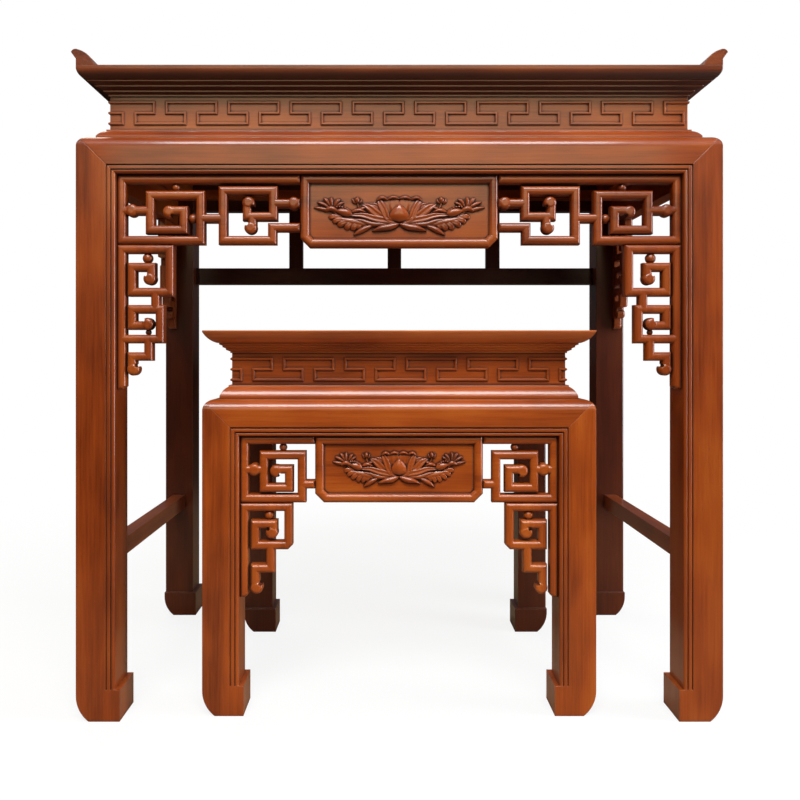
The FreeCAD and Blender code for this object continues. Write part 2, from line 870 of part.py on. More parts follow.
class Lattice:
    """Bars, curls and balls of one lattice, measured across from the leg and down from the top."""

    def __init__(self, name):
        self.name = name
        self.bars = []
        self.rounds = []
        self.corners = []
        self.notches = []

    def bar(self, across, down):
        deep = (size(0), shared.fret_depth)
        self.bars.append(block(self.name + "_bar", across, deep, (-size(down[1]), -size(down[0]))))

    def upright(self, across, down):
        self.bar((across, size(across) + shared.fret_bar), down)

    def level(self, down, across):
        self.bar(across, (down, size(down) + shared.fret_bar))

    def curl(self, across, down, notch=None):
        """A round end; a notch on the side where it rolls in makes a hook of it."""
        deep = (-shared.curl_proud, shared.fret_depth - shared.curl_proud)
        disc = rod(self.name + "_curl", "y", shared.curl_radius, across, deep, -down)
        front = deep[0].value
        soft = rounded(self.name + "_soft_curl", disc, shared.fret_round, lambda box: near(box.YMax, front))
        self.rounds.append(soft)
        if notch:
            out = shared.curl_notch_out
            through = (-shared.cut_margin, shared.fret_depth + shared.cut_margin)
            self.notches.append(rod(self.name + "_notch", "y", shared.curl_notch,
                                    across + out * notch[0], through, -down - out * notch[1]))

    def cut_corner(self, across, down, length):
        """Takes the far low corner off a frame that ends at across and down."""
        deep = shared.fret_depth + shared.cut_margin * 2
        wedge = document.addObject("Part::Box", self.name + "_corner")
        wedge.setExpression("Length", (length * 2 * DIAGONAL).formula)
        wedge.setExpression("Width", deep.formula)
        wedge.setExpression("Height", length.formula)
        place(wedge, across + length / 2, -shared.cut_margin, length * 1.5 - down)
        wedge.Placement.Rotation = OUT_AND_DOWN
        self.corners.append(wedge)

    def ball(self, across, down, diameter, pole=UP):
        """A ball between two bars, with its poles sunk in them."""
        sphere = document.addObject("Part::Sphere", self.name + "_ball")
        sphere.setExpression("Radius", (diameter / 2).formula)
        place(sphere, across, (shared.fret_depth + shared.fret_round) / 2, -down)
        sphere.Placement.Rotation = FreeCAD.Rotation(UP, pole)
        self.rounds.append(sphere)

    def solid(self):
        flat = carve(self.name + "_cornered", join(self.name + "_flat", self.bars), self.corners)
        soft = rounded(self.name + "_soft", flat, shared.fret_round, lambda box: near(box.YMax, 0))
        whole = join(self.name + "_whole", [soft, *self.rounds])
        return carve(self.name + "_notched", whole, self.notches)


def placed(name, thing, x, y, z, turn=0):
    copy = document.addObject("Part::Compound", name)
    copy.Links = [thing]
    place(copy, x, y, z, turn)
    return copy


def square_spiral(lattice, table):
    """The framed square beside the leg, with a spiral that ends in a hook inside it."""
    bar = shared.fret_bar
    width = table.square_width
    bottom = table.square_height - bar
    right = width - bar
    inner_bottom = bottom - shared.fret_slot - bar
    lattice.upright(0, (0, table.square_height))
    lattice.level(bottom, (0, width))
    lattice.upright(right, (table.spiral_drop, table.square_height))
    lattice.level(table.spiral_drop, (table.spiral_in, width))
    lattice.upright(table.spiral_in, (table.spiral_drop, inner_bottom + bar))
    lattice.level(inner_bottom, (table.spiral_in, table.hook_in + bar))
    lattice.upright(table.hook_in, (table.hook_drop, inner_bottom + bar))
    lattice.level(table.hook_drop, (table.hook_tip, table.hook_in + bar))
    lattice.curl(table.hook_tip, table.hook_drop + curl_in, notch=(1, 1))
    gap = table.spiral_drop - bar
    lattice.ball((table.spiral_in + width) / 2, bar + gap / 2, gap + shared.ball_sink * 2)
    lattice.level(table.hook_drop, (bar, table.spiral_in))
    lattice.curl(bar + curl_in, table.hook_drop + bar / 2)


def lower_fret():
    lattice = Lattice("lower_fret")
    square_spiral(lattice, lower)
    reach = lower.square_width + lower.link_length
    lattice.level(0, (0, reach))
    lattice.level(lower.link_drop, (lower.square_width - shared.fret_bar, reach))
    return lattice.solid(), reach


def upper_fret():
    """The square spiral, a linked square with two crooks in it, and ties to the carved panel."""
    lattice = Lattice("upper_fret")
    square_spiral(lattice, upper)
    bar = shared.fret_bar
    gap = upper.square_width - bar * 2 - upper.hook_in
    ball_at = upper.hook_in + bar + gap / 2
    lattice.ball(ball_at, upper.link_drop + bar / 2, gap + shared.ball_sink * 2, pole=ACROSS)
    left = upper.square_width + upper.link_length
    right = left + shared.crook_width
    reach = right + shared.tie_length
    lattice.level(0, (0, reach))
    lattice.level(upper.link_drop, (upper.square_width - bar, left + bar))
    lattice.upright(left, (shared.crook_drop, upper.square_height))
    lattice.level(shared.crook_drop, (left, right))
    lattice.upright(right - bar, (shared.crook_drop, shared.crook_middle_drop + bar))
    stem = left + shared.crook_stem_in
    lattice.level(shared.crook_middle_drop, (stem, right))
    lattice.upright(stem, (shared.crook_stem_drop, shared.crook_middle_drop + bar))
    lattice.curl(stem + curl_in, shared.crook_stem_drop, notch=(1, 1))
    low_stem = left + shared.crook_low_stem_in
    lattice.upright(low_stem, (shared.crook_middle_drop, shared.crook_low_stem_drop))
    lattice.curl(low_stem + bar - curl_in, shared.crook_low_stem_drop, notch=(-1, -1))
    lattice.level(upper.square_height - bar, (left, left + shared.crook_step_in + bar))
    lattice.upright(left + shared.crook_step_in, (shared.crook_step_drop, upper.square_height))
    lattice.level(shared.crook_step_drop, (left + shared.crook_step_in, reach))
    lattice.level(shared.tie_drop, (right - bar, reach))
    lattice.curl(reach - curl_out, shared.tie_drop + bar / 2)
    return lattice.solid(), reach


def bracket_spiral(lattice, table):
    """The bracket's first square: an outer frame and a spiral that turns in to a curl."""
    bar = shared.fret_bar
    width = table.bracket_width
    height = table.bracket_height
    inner = table.bracket_in
    lattice.upright(0, (0, table.bracket_end_drop))
    lattice.cut_corner(bar, table.bracket_end_drop, shared.bracket_end_cut)
    lattice.level(0, (0, width))
    lattice.upright(width - bar, (0, height))
    lattice.level(height - bar, (inner, width))
    lattice.upright(inner, (table.bracket_drop, height))
    lattice.level(table.bracket_drop, (inner, table.bracket_hook_in + bar))
    lattice.upright(table.bracket_hook_in, (table.bracket_drop, table.bracket_hook_drop))
    lattice.curl(table.bracket_hook_in + bar - curl_in, table.bracket_hook_drop, notch=(-1, -1))
    gap = table.bracket_drop - bar
    lattice.ball(table.bracket_hook_in, bar + gap / 2, gap + shared.ball_sink * 2)


def bracket_foot(lattice, table, start):
    """The bracket's last step and the tail that hangs from it."""
    bar = shared.fret_bar
    width = table.bracket_foot_width
    lattice.upright(width - bar, (start, table.bracket_foot_drop))
    lattice.level(table.bracket_foot_drop - bar, (table.bracket_in, width))
    lattice.upright(table.bracket_in, (table.bracket_foot_drop - bar, table.bracket_tail_drop))
    lattice.curl(table.bracket_in + curl_in, table.bracket_tail_drop, notch=(1, -1))


def lower_bracket():
    lattice = Lattice("lower_bracket")
    bracket_spiral(lattice, lower)
    bracket_foot(lattice, lower, lower.bracket_height - shared.fret_bar)
    lattice.cut_corner(lower.bracket_width, lower.bracket_height, lower.bracket_corner)
    return lattice.solid()


def upper_bracket():
    lattice = Lattice("upper_bracket")
    bracket_spiral(lattice, upper)
    bar = shared.fret_bar
    inner = upper.bracket_in
    top = shared.bracket_second_drop
    width = shared.bracket_second_width
    bottom = shared.bracket_second_end - bar
    hook = shared.bracket_second_hook_drop
    tip = shared.bracket_second_hook_tip
    lattice.upright(shared.bracket_link_in, (upper.bracket_height - bar, top + bar))
    lattice.level(top, (inner, width))
    lattice.upright(width - bar, (top, bottom + bar))
    lattice.level(bottom, (0, width))
    lattice.upright(inner, (top, hook + bar))
    lattice.level(hook, (inner, tip))
    lattice.curl(tip, hook + bar - curl_in, notch=(-1, -1))
    gap = bottom - hook - bar
    lattice.ball(tip, hook + bar + gap / 2, gap + shared.ball_sink * 2)
    bracket_foot(lattice, upper, bottom)
    return lattice.solid()


def carved_panel(table, half):
    """The board between the frets: a rounded rim round a sunk field, its lower corners cut off."""
    body = side_body(table.name("panel_body"), table, "front")
    top = table.apron_under
    bottom = top - table.panel_height

    def outline(inset):
        # The cut shortens with the inset, so the rim is as wide along it as along the sides.
        cut = shared.panel_chamfer - inset * (2 - DIAGONAL)
        side = half - inset
        return [
            (-side, bottom + inset + cut),
            (-side + cut, bottom + inset),
            (side - cut, bottom + inset),
            (side, bottom + inset + cut),
            (side, top - inset),
            (-side, top - inset),
        ]

    front = -shared.fret_setback
    pad(body, sketch_on(body, "XZ_Plane", [outline(size(0))], lift=front), shared.fret_depth, inwards=True)
    field = body.newObject("PartDesign::Pocket", table.name("panel_field"))
    field.Profile = sketch_on(body, "XZ_Plane", [outline(shared.panel_rim)], lift=front)
    field.setExpression("Length", shared.panel_field_depth.formula)
    document.recompute()
    face = shared.fret_setback.value
    edges = enumerate(field.Shape.Edges, start=1)
    rim = [f"Edge{index}" for index, edge in edges if near(edge.BoundBox.YMax, face)]
    soft = body.newObject("PartDesign::Fillet", table.name("panel_rim"))
    soft.Base = (field, rim)
    soft.setExpression("Radius", shared.panel_round.formula)
    return body


def build_lattices(table, fret, reach, bracket, side_brackets):
    """Places the lattices, drills them for their pegs, and says what their neighbours lose."""
    prefix = table.name
    y = table.front_y + shared.fret_setback
    radius = shared.peg_diameter / 2
    hole = radius + shared.clearance
    mid = shared.fret_depth / 2
    cuts = {"front_apron": [], "front_leg": [], "back_leg": []}
    pegs = []
    sink = shared.peg_sink
    bite = shared.peg_bite
    loose = shared.clearance
    bracket_top = table.apron_under - table.square_height
    panel_half = table.inner_x - reach

    def upright_peg(name, across, wide, spare):
        return rod(name, "z", wide, across, y + mid,
                   (table.apron_under - sink - spare, table.apron_under + bite + spare))

    def at_left(name, thing, level):
        return placed(prefix(name), thing, -table.inner_x, y, level)

    def at_right(name, thing, level):
        return placed(prefix(name), thing, table.inner_x, y, level)

    fret_pegs = [table.spiral_in, reach - shared.fret_bar]
    sunk = (-sink - loose, size(0))
    fret_holes = [rod(prefix("fret_hole"), "z", hole, at, mid, sunk) for at in fret_pegs]
    left = carve(prefix("fret_drilled"), fret, fret_holes)
    right = mirrored(prefix("fret_mirror"), left, ACROSS)
    keep(prefix("fret_left"), at_left("fret_left_at", left, table.apron_under))
    keep(prefix("fret_right"), at_right("fret_right_at", right, table.apron_under))
    panel_peg = panel_half - shared.panel_rim * 2
    stations = [panel_peg, table.inner_x - fret_pegs[0], table.inner_x - fret_pegs[1]]
    for station in stations:
        for across in (-station, station):
            pegs.append(upright_peg(prefix("peg"), across, radius, size(0)))
            cuts["front_apron"].append(upright_peg(prefix("peg_hole"), across, hole, loose))
    panel_pegs = (-panel_peg, panel_peg)
    panel_holes = [upright_peg(prefix("panel_hole"), across, hole, loose) for across in panel_pegs]
    panel = carved_panel(table, panel_half)
    keep(prefix("carved_panel"), carve(prefix("panel_drilled"), panel, panel_holes))

    levels = [table.bracket_drop, table.bracket_end_drop - shared.bracket_peg_rise]
    bored = (size(0), sink + loose)
    bracket_holes = [rod(prefix("bracket_hole"), "x", hole, bored, mid, -down) for down in levels]
    drilled = carve(prefix("bracket_drilled"), bracket, bracket_holes)
    other = mirrored(prefix("bracket_mirror"), drilled, ACROSS)
    keep(prefix("spandrel_left"), at_left("bracket_left_at", drilled, bracket_top))
    keep(prefix("spandrel_right"), at_right("bracket_right_at", other, bracket_top))
    for down in levels:
        height = bracket_top - down
        for sign in (-1, 1):
            face = table.inner_x * sign
            ends = (face - bite, face + sink) if sign < 0 else (face - sink, face + bite)
            pegs.append(rod(prefix("peg"), "x", radius, ends, y + mid, height))
        cuts["front_leg"].append(rod(prefix("peg_hole"), "x", hole,
                                     (-table.inner_x - bite - loose, -table.inner_x), y + mid, height))
    if side_brackets:
        brackets, side_pegs, side_holes = place_side_brackets(table, drilled, other, levels)
        keep(prefix("side_spandrels"), group(prefix("side_bracket_group"), brackets))
        pegs += side_pegs
        for end in side_holes:
            cuts[end] += side_holes[end]
    keep(prefix("lattice_pegs"), group(prefix("peg_group"), pegs))
    return cuts


def place_side_brackets(table, bracket, other, levels):
    """The same brackets under the side aprons, one at each leg, with their pegs."""
    prefix = table.name
    radius = shared.peg_diameter / 2
    loose = shared.clearance
    side_x = table.half_width - shared.fret_setback
    mid_x = side_x - shared.fret_depth / 2
    brackets = []
    pegs = []
    holes = {"front_leg": [], "back_leg": []}
    for end, sign in (("front_leg", -1), ("back_leg", 1)):
        face = table.middle_y + table.inner_y * sign
        for side in (-1, 1):
            piece = other if side == sign else bracket
            turn = 270 if side < 0 else 90
            bracket_x = side_x * side
            brackets.append(placed(prefix("side_bracket"), piece, bracket_x, face, table.apron_under, turn))
            for down in levels:
                bite = (face - shared.peg_bite, face + shared.peg_sink)
                if sign > 0:
                    bite = (face - shared.peg_sink, face + shared.peg_bite)
                pegs.append(rod(prefix("peg"), "y", radius, mid_x * side, bite, table.apron_under - down))
        for down in levels:
            height = table.apron_under - down
            into = (face - shared.peg_bite - loose, face)
            if sign > 0:
                into = (face, face + shared.peg_bite + loose)
            holes[end].append(rod(prefix("peg_hole"), "y", radius + loose, -mid_x, into, height))
    return brackets, pegs, holes


# Rails that only the tall table has


def build_upper_rails(cuts):
    """Back rail with its struts, and a stretcher low down on each side, all tenoned."""
    loose = shared.clearance
    leg = upper.leg
    tenon = shared.tenon_length
    shoulder = shared.tenon_shoulder
    rail_y = upper.back_y - shared.back_rail_setback
    half = shared.back_rail_thickness / 2
    low = shared.back_rail_level
    high = low + shared.back_rail_height
    back_under = upper.shoulder - upper.back_apron_height
    rail = block("back_rail_bar", (-upper.inner_x, upper.inner_x), (rail_y - half, rail_y + half),
                 (low, high))

    def rail_tenon(name, spare):
        reach = upper.inner_x + tenon + spare
        thick = half - shoulder + spare
        return block(name, (-reach, reach), (rail_y - thick, rail_y + thick),
                     (low + shoulder - spare, high - shoulder + spare))

    cuts["back_leg"].append(rail_tenon("back_rail_mortise", loose))
    thick = shared.strut_thickness / 2
    struts = []
    mortises = []
    for index in (-1, 0, 1):
        x = shared.strut_spacing * index
        wide = shared.strut_width / 2
        post = block("strut_post", (x - wide, x + wide), (rail_y - thick, rail_y + thick),
                     (high, back_under))

        def strut_tenon(name, spare):
            deep = thick - shared.tenon_cheek + spare
            side = wide - shoulder + spare
            return block(name, (x - side, x + side), (rail_y - deep, rail_y + deep),
                         (high - shoulder * 2 - spare, back_under + shoulder + spare))

        struts.append(join("strut_bar", [post, strut_tenon("strut_tenon", size(0))]))
        mortises.append(strut_tenon("strut_mortise", loose))
    whole = join("back_rail_whole", [rail, rail_tenon("back_rail_tenon", size(0))])
    keep("upper_back_rail", carve("back_rail_cut", whole, mortises))
    keep("upper_back_struts", group("strut_group", struts))
    cuts.setdefault("back_apron", []).extend(mortises)

    bar_x = -upper.half_width + leg / 2
    wide = shared.stretcher_width / 2
    base = shared.stretcher_level
    top = base + shared.stretcher_height
    bar = block("stretcher_bar", (bar_x - wide, bar_x + wide), (-upper.inner_y, upper.inner_y), (base, top))

    def stretcher_tenon(name, spare):
        reach = upper.inner_y + tenon + spare
        side = wide - shoulder + spare
        return block(name, (bar_x - side, bar_x + side), (-reach, reach),
                     (base + shoulder - spare, top - shoulder + spare))

    stretcher = join("stretcher_whole", [bar, stretcher_tenon("stretcher_tenon", size(0))])
    keep("upper_stretcher_left", stretcher)
    keep("upper_stretcher_right", mirrored("stretcher_mirror", stretcher, ACROSS))
    for end in ("front_leg", "back_leg"):
        cuts[end].append(stretcher_tenon("stretcher_mortise", loose))


def build_table(table, battens, fret, bracket, tall):
    build_top(table, battens, wings=tall)
    holes = corner_dowels(table, table.name("dowel_bore"), shared.clearance)
    build_waist(table, holes)
    build_base_moulding(table, holes)
    cuts = build_lattices(table, *fret, bracket, side_brackets=tall)
    if tall:
        build_upper_rails(cuts)
    build_frame(table, cuts)


def export():
    """Checks every object and every finished piece, then writes one file for each piece."""
    document.recompute()
    failed = [thing.Name for thing in document.Objects if {"Invalid", "Error"} & set(thing.State)]
    if failed:
        raise RuntimeError(f"failed features: {failed}")
    for label, thing in nodes.items():
        if thing.Shape.isNull() or not thing.Shape.isValid() or not thing.Shape.Solids:
            raise RuntimeError(f"bad shape: {label}")
    os.makedirs("parts", exist_ok=True)
    for label, thing in nodes.items():
        shape = thing.Shape
        whole = shape.Solids[0] if len(shape.Solids) == 1 else shape
        whole.exportStep(os.path.join("parts", f"{label}.step"))
        print(f"{label}: {len(shape.Solids)} solid(s), {shape.Volume / 1000:.1f} cm3")


build_table(upper, UPPER_BATTENS, upper_fret(), upper_bracket(), tall=True)
build_table(lower, LOWER_BATTENS, lower_fret(), lower_bracket(), tall=False)
export()
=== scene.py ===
import math

import bmesh
import bpy
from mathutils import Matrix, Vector


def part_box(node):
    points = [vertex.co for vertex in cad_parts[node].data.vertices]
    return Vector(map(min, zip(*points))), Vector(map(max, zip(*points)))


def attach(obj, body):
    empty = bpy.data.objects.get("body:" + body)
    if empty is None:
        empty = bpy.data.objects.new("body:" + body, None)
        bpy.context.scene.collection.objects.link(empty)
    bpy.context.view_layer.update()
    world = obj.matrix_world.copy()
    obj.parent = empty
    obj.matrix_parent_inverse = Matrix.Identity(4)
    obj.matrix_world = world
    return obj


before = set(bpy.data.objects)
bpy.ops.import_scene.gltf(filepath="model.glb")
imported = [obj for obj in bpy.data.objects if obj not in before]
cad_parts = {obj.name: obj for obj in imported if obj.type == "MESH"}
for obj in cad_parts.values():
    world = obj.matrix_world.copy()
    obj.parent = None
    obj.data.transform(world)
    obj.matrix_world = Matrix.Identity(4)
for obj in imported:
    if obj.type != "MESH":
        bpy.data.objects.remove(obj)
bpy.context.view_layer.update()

MM = 0.001
WHITE = (1.0, 1.0, 1.0, 1.0)


# Shader maths


class Value:
    """A number or colour on a shader socket; arithmetic on it adds the Math nodes."""

    def __init__(self, shader, socket):
        self.shader = shader
        self.socket = socket

    def math(self, operation, first, second):
        return self.shader.node("ShaderNodeMath", {"operation": operation}, {0: first, 1: second})

    def __add__(self, other):
        return self.math("ADD", self, other)

    __radd__ = __add__

    def __mul__(self, other):
        return self.math("MULTIPLY", self, other)

    __rmul__ = __mul__

    def __sub__(self, other):
        return self.math("SUBTRACT", self, other)

    def __rsub__(self, other):
        return self.math("SUBTRACT", other, self)

    def between(self, low, high):
        """0 at low and below, 1 at high and above, and smooth on the way."""
        return self.shader.node("ShaderNodeMapRange", {"interpolation_type": "SMOOTHSTEP"},
                                {"Value": self, "From Min": low, "From Max": high})


class Shader:
    """The node tree of one material, or of the world."""

    def __init__(self, owner):
        self.owner = owner
        owner.use_nodes = True
        self.tree = owner.node_tree
        self.tree.nodes.clear()

    def node(self, kind, settings=None, inputs=None, output=0):
        """Adds a node: its settings first, then its inputs as values or links."""
        made = self.tree.nodes.new(kind)
        for key, value in (settings or {}).items():
            if key == "stops":
                ramp = made.color_ramp
                while len(ramp.elements) < len(value):
                    ramp.elements.new(0.5)  # between the two that a new ramp has; placed below
                for stop, (position, colour) in zip(ramp.elements, value):
                    stop.position = position
                    stop.color = (*colour, 1.0)
            else:
                setattr(made, key, value)
        for key, value in (inputs or {}).items():
            if isinstance(value, Value):
                self.tree.links.new(value.socket, made.inputs[key])
            else:
                made.inputs[key].default_value = value
        return Value(self, made.outputs[output]) if made.outputs else None

    def noise(self, vector, scale, detail=3.0, roughness=0.55, distortion=0.0):
        """Noise that repeats about scale times in a metre along each axis."""
        stretched = self.node("ShaderNodeVectorMath", {"operation": "MULTIPLY"}, {0: vector, 1: scale})
        return self.node("ShaderNodeTexNoise", {}, {
            "Vector": stretched, "Scale": 1.0, "Detail": detail, "Roughness": roughness,
            "Distortion": distortion})

    def mix(self, factor, first, second):
        """Blends two colours."""
        return self.node("ShaderNodeMix", {"data_type": "RGBA"}, {0: factor, 6: first, 7: second}, output=2)

    def ramp(self, value, stops):
        """A colour by a number, from stops of (position, colour)."""
        return self.node("ShaderNodeValToRGB", {"stops": stops}, {"Fac": value})

    def surface(self, shaded, output="ShaderNodeOutputMaterial"):
        self.node(output, {}, {"Surface": shaded})
        return self.owner


# Woods

# Tones of the stain, and how light a place in the figure has to be for each; the tones marked below are
# painted light or shade.
STAINS = {
    "upper": {
        "deep": (0.110, 0.014, 0.0015), "body": (0.268, 0.045, 0.004), "light": (0.38, 0.086, 0.009)},
    "lower": {
        "deep": (0.144, 0.021, 0.002), "body": (0.345, 0.063, 0.006), "light": (0.48, 0.118, 0.013)},
    # painted light and shade: tones for the tops' rails and wings on faces that do not look up, painted shade
    # on the tall table and painted light on the small one
    "upper_edge": {
        "deep": (0.070, 0.009, 0.0015), "body": (0.175, 0.030, 0.004), "light": (0.26, 0.056, 0.008)},
    "lower_edge": {
        "deep": (0.205, 0.035, 0.006), "body": (0.500, 0.108, 0.016), "light": (0.65, 0.178, 0.030)},
    # painted shade: darker tones for the back legs, which are their stain darkened as their shade
    "rear": {
        "deep": (0.034, 0.004, 0.001), "body": (0.085, 0.012, 0.002), "light": (0.130, 0.024, 0.004)},
    # painted shade: near-black tones for the back and hidden parts, which are their stain darkened as their
    # shade
    "dark": {
        "deep": (0.020, 0.003, 0.001), "body": (0.045, 0.008, 0.003), "light": (0.080, 0.018, 0.006)},
}
TONE_STOPS = {"deep": 0.30, "body": 0.52, "light": 0.74}
# paler colour of the edges: partly worn lacquer, partly painted highlight
WORN_AND_HIGHLIGHT = (0.43, 0.165, 0.06, 1.0)
# darkest colour of the recesses and undersides: partly stain gathered in the hollows, partly painted shade
PATINA_AND_SHADE = (0.024, 0.006, 0.003, 1.0)

# Patterns of the grain, which runs along x before it is turned, and what share of the figure each makes.
GRAIN_TURN = {"x": (0, 0, 0), "y": (0, 0, math.radians(-90)), "z": (0, math.radians(90), 0)}
SEED_STEP = (0.37, 0.73, 1.31)
STREAKS = {"scale": (1.6, 19.0, 19.0), "detail": 4.0, "distortion": 0.9}
FIBRE = {"scale": (9.0, 330.0, 330.0), "detail": 3.0, "roughness": 0.65}
MOTTLE = {"scale": (6.0, 14.0, 14.0), "detail": 2.0}
PORES = {"scale": (70.0, 1500.0, 1500.0), "detail": 2.0}
STREAKS_SHARE = 0.5
FIBRE_SHARE = 0.28
MOTTLE_SHARE = 0.5
FIGURE_DROP = 0.14
PORE_OPENING = (0.62, 0.74)
PORE_STAIN = 0.45

# How far (in metres) a recess and an edge are felt, how closed a place is where the darkening begins and
# is full, how much the edges are made paler (wear and painted highlight) and the recesses darker (gathered
# stain and painted shade), and how much painted shade darkens the faces that look down.
PLAIN_FINISH_AND_SHADE = {
    "reach": 0.012, "open": 0.16, "closed": 0.72, "edge": 0.0020,
    "rubbed_and_highlit": 0.35, "stained_and_shaded": 0.92, "under": 0.0}
FINISHES_AND_SHADE = {
    "plain": PLAIN_FINISH_AND_SHADE,
    "leg": {**PLAIN_FINISH_AND_SHADE, "open": 0.20, "closed": 0.90, "stained_and_shaded": 0.55},
    # the moulding's faces that look down get painted shade
    "moulding": {**PLAIN_FINISH_AND_SHADE, "stained_and_shaded": 0.90, "under": 0.85},
    "fine": {
        "reach": 0.005, "open": 0.06, "closed": 0.32, "edge": 0.0008,
        "rubbed_and_highlit": 0.55, "stained_and_shaded": 0.95, "under": 0.0},
}

# Where each begins and is full: faces that look up (which keep the table's stain where the other faces take
# painted tones), faces that look down (painted shade), bends that are edges, fibres that rub pale (wear and
# painted highlight).
TOP_FACE = (0.5, 0.9)
SHADED_UNDERSIDE = (0.05, 0.6)
EDGE_BEND = (0.02, 0.16)
RUBBED_AND_HIGHLIT_FIBRE = (0.25, 0.6)
EDGE_SAMPLES = 6
RECESS_SAMPLES = 10

# Lacquer: rougher on the fibres, in the recesses and in the pores, and thin in the recesses.
LACQUER_ROUGHNESS = 0.30
FIBRE_ROUGHNESS = 0.10
RECESS_ROUGHNESS = 0.40
PORE_ROUGHNESS = 0.08
SPECULAR = 0.38
COAT = 0.6
COAT_LOST_IN_RECESS = 0.55
COAT_ROUGHNESS = 0.12
FIBRE_RISE = 0.5
PORE_DROP = 0.6
GRAIN_BUMP = {"Strength": 0.35, "Distance": 0.0004}

# Bare wood of the pegs and dowels.
PEG_FIBRE = {"scale": (140.0, 140.0, 140.0), "detail": 4.0}
PEG_TONES = [(0.3, (0.36, 0.22, 0.11)), (0.7, (0.58, 0.40, 0.23))]
PEG_ROUGHNESS = 0.5
PEG_FIBRE_ROUGHNESS = 0.25
PEG_BUMP = {"Strength": 0.3, "Distance": 0.0004}


def wood_grain(shader, grain, seed):
    """The figure that the stain follows, the fibres and the open pores, along one axis."""
    place = shader.node("ShaderNodeTexCoord", output="Object")
    along = shader.node("ShaderNodeMapping", {}, {
        "Vector": place, "Location": tuple(seed * step for step in SEED_STEP), "Rotation": GRAIN_TURN[grain]})
    streaks = shader.noise(along, **STREAKS)
    fibre = shader.noise(along, **FIBRE)
    mottle = shader.noise(along, **MOTTLE)
    figure = streaks * STREAKS_SHARE + fibre * FIBRE_SHARE + mottle * MOTTLE_SHARE - FIGURE_DROP
    return figure, fibre, shader.noise(along, **PORES).between(*PORE_OPENING)


def stain(shader, figure, tones):
    """Deep, body and light tones of a stained wood, by its figure."""
    return shader.ramp(figure, [(TONE_STOPS[tone], colour) for tone, colour in tones.items()])


def stained_wood(name, grain, tones, finish_and_shade, seed, top_tones=None):
    """Stained, lacquered wood: fibres along one axis, edges paler (wear and painted highlight), recesses
    darker (gathered stain and painted shade), and faces that look down darker where asked (painted shade).

    Faces that look up take top_tones instead of tones, where they are given; the tones on the other faces are
    then painted light or shade.
    """
    shader = Shader(bpy.data.materials.new(name))
    figure, fibre, pore = wood_grain(shader, grain, seed)
    wood = stain(shader, figure, tones)
    facing = shader.node("ShaderNodeNewGeometry", output="Normal")
    upward = shader.node("ShaderNodeSeparateXYZ", {}, {0: facing}, output="Z")
    # faces that look up keep the table's stain, the other faces keep the painted tones
    if top_tones:
        wood = shader.mix(upward.between(*TOP_FACE), wood, stain(shader, figure, top_tones))
    wood = shader.mix(pore * PORE_STAIN, wood, (*tones["deep"], 1.0))

    eased = shader.node("ShaderNodeBevel", {"samples": EDGE_SAMPLES}, {"Radius": finish_and_shade["edge"]})
    alike = shader.node("ShaderNodeVectorMath", {"operation": "DOT_PRODUCT"}, {0: eased, 1: facing},
                        output="Value")
    air = shader.node("ShaderNodeAmbientOcclusion", {"samples": RECESS_SAMPLES},
                      {"Distance": finish_and_shade["reach"]}, output="AO")
    # darkening of the recesses: partly gathered stain, partly painted shade
    recess_and_shade = (1 - air).between(finish_and_shade["open"], finish_and_shade["closed"])
    # painted shade: faces that look down are darkened, added to the recess mask
    if finish_and_shade["under"]:
        under = (0 - upward).between(*SHADED_UNDERSIDE) * finish_and_shade["under"]
        recess_and_shade = recess_and_shade + under - recess_and_shade * under
    # paler edges: partly wear, partly painted highlight
    edge = (1 - alike).between(*EDGE_BEND) * (1 - recess_and_shade) * fibre.between(*RUBBED_AND_HIGHLIT_FIBRE)
    wood = shader.mix(edge * finish_and_shade["rubbed_and_highlit"], wood, WORN_AND_HIGHLIGHT)
    wood = shader.mix(recess_and_shade * finish_and_shade["stained_and_shaded"], wood, PATINA_AND_SHADE)

    rough = LACQUER_ROUGHNESS + fibre * FIBRE_ROUGHNESS + recess_and_shade * RECESS_ROUGHNESS + pore * PORE_ROUGHNESS
    relief = fibre * FIBRE_RISE - pore * PORE_DROP
    bump = shader.node("ShaderNodeBump", {}, {**GRAIN_BUMP, "Height": relief, "Normal": eased})
    return shader.surface(shader.node("ShaderNodeBsdfPrincipled", {}, {
        "Base Color": wood, "Roughness": rough, "Normal": bump, "Specular IOR Level": SPECULAR,
        "Coat Weight": COAT - recess_and_shade * COAT_LOST_IN_RECESS, "Coat Roughness": COAT_ROUGHNESS}))


def bare_wood(name):
    """Unstained hardwood for pegs and dowels."""
    shader = Shader(bpy.data.materials.new(name))
    place = shader.node("ShaderNodeTexCoord", output="Object")
    fibre = shader.noise(place, **PEG_FIBRE)
    bump = shader.node("ShaderNodeBump", {}, {**PEG_BUMP, "Height": fibre})
    return shader.surface(shader.node("ShaderNodeBsdfPrincipled", {}, {
        "Base Color": shader.ramp(fibre, PEG_TONES), "Normal": bump,
        "Roughness": PEG_ROUGHNESS + fibre * PEG_FIBRE_ROUGHNESS}))


# Which way the grain of a node runs, which nodes take near-black tones as painted shade, and which have their
# own finish and painted shade:
# the first words that are found in the node's name count.
GRAIN = {
    "front_rail": "x", "back_rail": "x", "left_rail": "y", "right_rail": "y", "top_panel": "x",
    "battens": "y", "wing": "y", "waist_front": "x", "waist_back": "x", "waist_left": "y", "waist_right": "y",
    "base_moulding": "x", "fret": "x", "carved_panel": "x", "spandrel": "z", "struts": "z", "stretcher": "y",
    "apron_front": "x", "apron_back": "x", "apron_left": "y", "apron_right": "y", "leg": "z",
}
